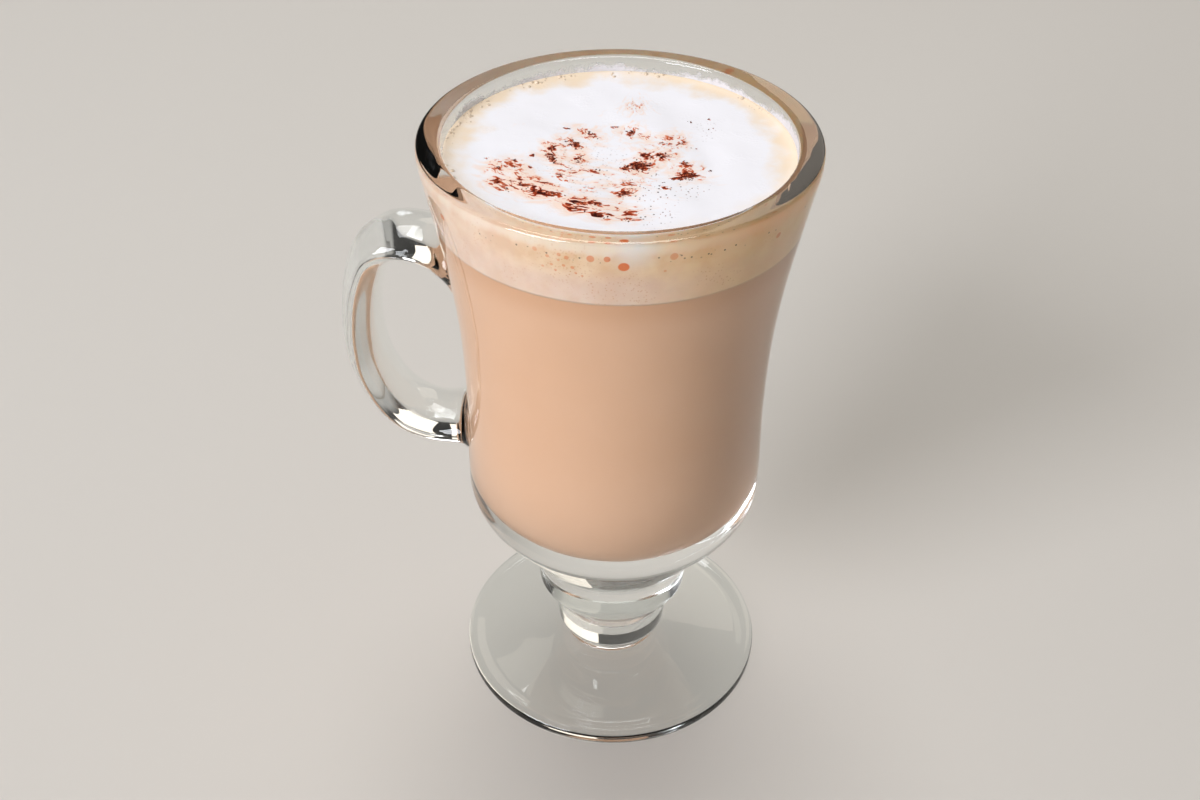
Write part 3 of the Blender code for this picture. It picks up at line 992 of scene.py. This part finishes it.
FIZZ_CELL = 0.62 * MM
FIZZ_PLACE = on_the_wall(-101.0, 132.6 * MM)
HIGHLIGHT_PLACE = on_the_wall(-80.0, 137.0 * MM)
DARK_SPECK_CELL = 1.1 * MM
DARK_SPECK_PLACE = on_the_wall(-40.0, 134.5 * MM)
SPECKS_START = (133.6 * MM, 134.6 * MM)
SPECKS_END = (135.6 * MM, 135.2 * MM)
FOOT_BAND = (124.1 * MM, 124.5 * MM)
fizz_brown = paint(208, 156, 112)
painted_highlight_white = paint(238, 232, 228)
bubble_orange = paint(224, 112, 36)
speck_brown = paint(112, 80, 60)
wet_foot = paint(198, 152, 118)

fizz = skin.cells(spot, FIZZ_CELL)
fizz_patches = skin.between(skin.noise(spot, 9 * MM, detail=2.0), 0.52, 0.66)
fizz_patches = fizz_patches + skin.near(spot, FIZZ_PLACE, 9 * MM)
fizz_cover = skin.between(fizz, 0.3, 0.2) * fizz_patches
colour = skin.blend(colour, fizz_brown, fizz_cover * 0.5)
# Painted highlight: a soft white patch under the front lip stands in for light that the lip gathers onto the
# foam.
painted_highlight_patch = skin.near(spot, HIGHLIGHT_PLACE, 6 * MM)
colour = skin.blend(colour, painted_highlight_white, painted_highlight_patch * 0.8)
for degrees, bubble_height, radius, strength in SIDE_BUBBLES:
    centre = on_the_wall(degrees, bubble_height * MM)
    cover = skin.near(spot, centre, radius * MM, 0.25)
    colour = skin.blend(colour, bubble_orange, cover * strength)
dark_specks = skin.cells(spot, DARK_SPECK_CELL)
speck_band = skin.between(height, *SPECKS_START) * skin.between(height, *SPECKS_END)
speck_patches = skin.between(skin.noise(spot, 12 * MM, detail=1.0), 0.47, 0.55)
speck_patches = speck_patches + skin.near(spot, DARK_SPECK_PLACE, 11 * MM)
speck_cover = skin.between(dark_specks, 0.2, 0.13) * speck_band * speck_patches
colour = skin.blend(colour, speck_brown, speck_cover * 0.8)
at_foot = 1 - skin.between(height, *FOOT_BAND)
colour = skin.blend(colour, wet_foot, at_foot * 0.6)
skin.set(Base_Color=colour)
skin.put_on(foam)

# %% Share out the foam's two finishes
TOP_FACES_ABOVE = FOAM_LEVEL - 0.6 * MM
LOOKS_UP = 0.3
for face in foam.data.polygons:
    face.material_index = 0 if face.center.z > TOP_FACES_ABOVE and face.normal.z > LOOKS_UP else 1
print("side faces:", sum(face.material_index for face in foam.data.polygons))

# %% [markdown]
# ## Cocoa crumbs
# The thickest cocoa stands up from the foam in tiny crumbs. They could be a particle system, but exported
# models lose those, so each crumb is a small crooked ball added to one mesh. The draw is seeded, so every
# run strews the same crumbs, and more of them fall where a drift is thick.

# %% Make one crumb
CRUMB_LIFT = 0.05
DRAW_SEED = 5
rng = random.Random(DRAW_SEED)


def small_ball(subdivisions, radius):
    """The corners and the faces of a ball made of triangles."""
    shape = bmesh.new()
    bmesh.ops.create_icosphere(shape, subdivisions=subdivisions, radius=radius)
    corners = np.array([tuple(vert.co) for vert in shape.verts])
    faces = np.array([[vert.index for vert in face.verts] for face in shape.faces])
    shape.free()
    return corners, faces


ball, ball_faces = small_ball(1, 1.0)
crumb_corners = []
crumb_faces = []
crumb_shades = []


def add_crumb(x, y, size, shade):
    """One crumb at a place in millimetres, nearly half sunk in the foam."""
    angle = rng.uniform(0, math.pi)
    length = size * rng.uniform(0.8, 1.7)
    width = size * rng.uniform(0.5, 0.9)
    thick = size * rng.uniform(0.3, 0.55)
    crooked = np.array([[rng.uniform(0.75, 1.2)] for _ in ball])
    shape = ball * np.array([length, width, thick]) / 2 * crooked
    turned_x = shape[:, 0] * math.cos(angle) - shape[:, 1] * math.sin(angle)
    turned_y = shape[:, 0] * math.sin(angle) + shape[:, 1] * math.cos(angle)
    top = foam_height(x * MM, y * MM) / MM
    placed = np.stack([turned_x + x, turned_y + y, shape[:, 2] + top + size * CRUMB_LIFT], axis=-1)
    crumb_faces.extend((ball_faces + len(ball) * len(crumb_shades)).tolist())
    crumb_corners.extend((placed * MM).tolist())
    crumb_shades.append(shade)


print("a crumb has", len(ball_faces), "faces")

# %% Strew the crumbs
CRUMBS_PER_SQUARE_MM = 4.0
CRUMB_SPREAD = 0.30
SMALLEST_CRUMB = 0.2
LARGEST_CRUMB = 0.55
for middle_x, middle_y, length, width, degrees, amount in COCOA_DRIFTS:
    angle = math.radians(degrees)
    for _ in range(round(CRUMBS_PER_SQUARE_MM * length * width * amount**3)):
        along = rng.gauss(0, CRUMB_SPREAD) * length
        across = rng.gauss(0, CRUMB_SPREAD) * width
        x = middle_x + along * math.cos(angle) - across * math.sin(angle)
        y = middle_y + along * math.sin(angle) + across * math.cos(angle)
        add_crumb(x, y, rng.uniform(SMALLEST_CRUMB, LARGEST_CRUMB), rng.uniform(0, 1))
cocoa_piece = add_piece("cocoa", crumb_corners, crumb_faces)
shade_field = cocoa_piece.data.attributes.new("shade", "FLOAT", "POINT")
shade_field.data.foreach_set("value", np.repeat(crumb_shades, len(ball)))
print("crumbs:", len(crumb_shades), "faces:", len(crumb_faces))

# %% [markdown]
# Cocoa has next to no shine. Dry crumbs are a light brown and damp ones nearly black, and one brown for all
# would look like gravel. So each crumb keeps the shade that was drawn for it, with a little noise on top.

# %% Finish of the crumbs
SPECKLE_SIZE = 0.3 * MM

skin = Finish("cocoa", Roughness=0.7, Specular_IOR_Level=0.15)
shade = skin.attribute("shade")
speckle = skin.noise(skin.place(), SPECKLE_SIZE)
cocoa_colour = skin.ramp(
    shade * 0.7 + speckle * 0.3,
    (0.0, paint(58, 17, 9)),
    (0.5, paint(96, 32, 17)),
    (1.0, paint(176, 84, 52)),
)
skin.set(Base_Color=cocoa_colour)
skin.put_on(cocoa_piece)

# %% [markdown]
# ## Bubbles along the glass
# Where the foam meets the glass, larger bubbles gather in little groups. Only their caps stand out of the
# foam. A bump could not show them from the side, so they are small balls, sunk into the foam. A noise that
# runs round the rim decides where they gather.

# %% Blow the bubbles
BUBBLE_TRIES = 420
BUBBLE_SUNK = 0.12
LARGEST_EXTRA = 0.6
SPREAD_FROM_WALL = 0.7
GATHERING_SCALE = 2.6
GATHERING_LEVEL = 0.4
round_ball, round_faces = small_ball(2, 0.5)
bubble_corners = []
bubble_faces = []
for _ in range(BUBBLE_TRIES):
    angle = rng.uniform(0, 2 * math.pi)
    gathering = noise.noise(Vector((math.cos(angle), math.sin(angle), GATHERING_LEVEL)) * GATHERING_SCALE)
    size = rng.uniform(0.22, 0.5) + LARGEST_EXTRA * rng.random() ** 4
    from_wall = size * 0.5 + abs(rng.gauss(0, SPREAD_FROM_WALL))
    if gathering < rng.uniform(-0.15, 0.5):
        continue
    reach = foam_edge / MM - from_wall
    middle = np.array([reach * math.cos(angle), reach * math.sin(angle), 0.0])
    middle[2] = foam_height(middle[0] * MM, middle[1] * MM) / MM - size * BUBBLE_SUNK
    bubble_faces.extend((round_faces + len(bubble_corners)).tolist())
    bubble_corners.extend(((round_ball * size + middle) * MM).tolist())
bubbles_piece = add_piece("bubbles", bubble_corners, bubble_faces)
print("bubbles:", len(bubble_corners) // len(round_ball))

# %% [markdown]
# A bubble's skin is thin milk. It looks a little darker than the foam, since light goes into it, and it
# has a sharp small highlight. Clear bubbles would take far longer to render and look the same at this size.

# %% Finish of the bubbles
TONE_SIZE = 2.5 * MM

skin = Finish("bubble_skin", Roughness=0.08, IOR=1.33)
tone = skin.noise(skin.place(), TONE_SIZE, detail=1.0)
skin.set(Base_Color=skin.blend(paint(206, 182, 154), paint(236, 218, 196), tone))
skin.put_on(bubbles_piece)

# %% [markdown]
# ## The film on the wall
# Foam sinks a little after it is poured and leaves a thin milky film on the glass above it, torn into holes
# where bubbles burst. It could be painted on the glass, but the glass has to stay clear from inside. So the
# film is a band of its own, a hair's breadth inside the wall, and noise in its alpha tears the holes.

# %% Shape the film
FILM_GAP = 0.05 * MM
FILM_FOOT = FOAM_LEVEL + 0.3 * MM
FILM_TOP = 139.0 * MM
FILM_ROWS = 8
lip_side = [Vector((point.x - FILM_GAP, point.y)) for point in lip_outline()[:4]]
film_line = hollow_outline(FILM_GAP) + lip_side
film_corners = []
for film_height in np.linspace(FILM_FOOT, FILM_TOP, FILM_ROWS):
    film_corners.extend(ring_points(radius_at(film_line, film_height), film_height, AROUND))
film_piece = add_piece("milk_film", film_corners, band_faces(0, FILM_ROWS, AROUND), closed=False)
print("film:", len(film_piece.data.polygons), "faces")

# %% [markdown]
# The film stands highest at the right, with a ragged upper edge. Holes cut into the mesh would take
# thousands of faces. So coarse noise sets how high it reaches, and fine noise tears it, by fading its alpha.

# %% Finish of the film
TEAR_SIZE = 1.5 * MM
TEAR_DEPTH = 3.5 * MM
SWELL_SIZE = 12 * MM
SWELL_DEPTH = 5 * MM
RISE_TO_RIGHT = 0.02
FADE_BAND = (2.2 * MM, 0.5 * MM)

skin = Finish("milk_film", Base_Color=paint(228, 225, 231), Roughness=0.45, IOR=1.35)
spot = skin.place()
height = skin.axis(spot, "Z")
rightwards = skin.axis(spot, "X")
tears = skin.noise(spot, TEAR_SIZE, detail=4.0, roughness=0.6)
swell = skin.noise(spot, SWELL_SIZE, detail=1.0)
above_foam = height - FOAM_LEVEL - rightwards * RISE_TO_RIGHT
ragged = above_foam + (tears - 0.5) * TEAR_DEPTH - (swell - 0.5) * SWELL_DEPTH
film_cover = skin.between(ragged, *FADE_BAND)
skin.set(Alpha=film_cover * 0.75)
skin.put_on(film_piece)

# %% [markdown]
# ## Floor and light
# The floor is plain and pale. A round one is chosen, since a square one would show a corner on the horizon
# when it is seen from low down. It lies a hair below the foot, so the two faces don't flicker.

# %% Floor
FLOOR_RADIUS = 2.8
FLOOR_CORNERS = 180
BELOW_FOOT = 0.2 * MM
floor_corners = list(ring_points(FLOOR_RADIUS, 0.0, FLOOR_CORNERS))
floor = add_piece("floor", floor_corners, [tuple(range(FLOOR_CORNERS))], closed=False)
floor.location.z = -BELOW_FOOT
skin = Finish("floor", Base_Color=paint(214, 209, 201), Roughness=0.95, Specular_IOR_Level=0.2)
skin.put_on(floor)
print("floor is", 2 * FLOOR_RADIUS, "m across")

# %% [markdown]
# A large soft light from the front left models the round forms and lets the right side fall off. It is a
# little blue, as daylight is. A broad, warm one from behind and a small one above bring up the lip and the
# foam's top, and a very faint one from the right warms the shaded side. The lamps stand far off, so that
# the floor is lit evenly. The surroundings glow a little near the horizon and are dark above, which gives
# the clear glass something to mirror.

# %% Lamps
AIM = Vector((0, 0, 90 * MM))
for name, place, size, watts, colour in (
    ("key_lamp", (-1.62, -1.98, 1.44), 1.5, 86.0, (0.97, 0.99, 1.05)),
    ("fill_lamp", (1.1, -0.45, 0.7), 0.8, 0.2, (1.0, 0.75, 0.5)),
    ("back_lamp", (0.9, 2.6, 1.5), 1.8, 14.0, (1.0, 0.9, 0.78)),
    ("top_lamp", (-0.1, 0.42, 1.4), 0.7, 8.8, (1.0, 1.0, 1.0)),
):
    lamp = add_object(name, bpy.data.lights.new(name, "AREA"))
    lamp.data.shape = "SQUARE"
    lamp.data.size = size
    lamp.data.energy = watts
    lamp.data.color = colour
    lamp.location = place
    lamp.rotation_euler = (AIM - lamp.location).to_track_quat("-Z", "Y").to_euler()
print("lamps:", [lamp.name for lamp in bpy.data.lights])

# %% Surroundings
GLOW_STOPS = ((0.05, (0.4, 0.384, 0.36)), (0.22, (0.05, 0.048, 0.045)))
world = bpy.data.worlds.new("studio")
world.use_nodes = True
glow = Network(world.node_tree)
upwards = glow.axis(glow.node("ShaderNodeTexCoord", {}, "Generated"), "Z")
plug_in(glow.tree.nodes["Background"].inputs["Color"], glow.ramp(upwards, *GLOW_STOPS))
scene.world = world
scene.view_settings.view_transform = "Standard"
print("surroundings:", len(glow.tree.nodes), "nodes")

# %% [markdown]
# ## Fit the pieces to the model
# Each piece rides on the model's one body and takes the place of its solid.

# %% Ride and replace
for piece, node, slot in (
    (glass, "glass_mug", "clear_glass"),
    (coffee, "coffee", "milk_coffee"),
    (foam, "milk_foam", "milk_foam"),
):
    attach(piece, "root")
    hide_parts(node)
for piece in (cocoa_piece, bubbles_piece, film_piece):
    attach(piece, "root")
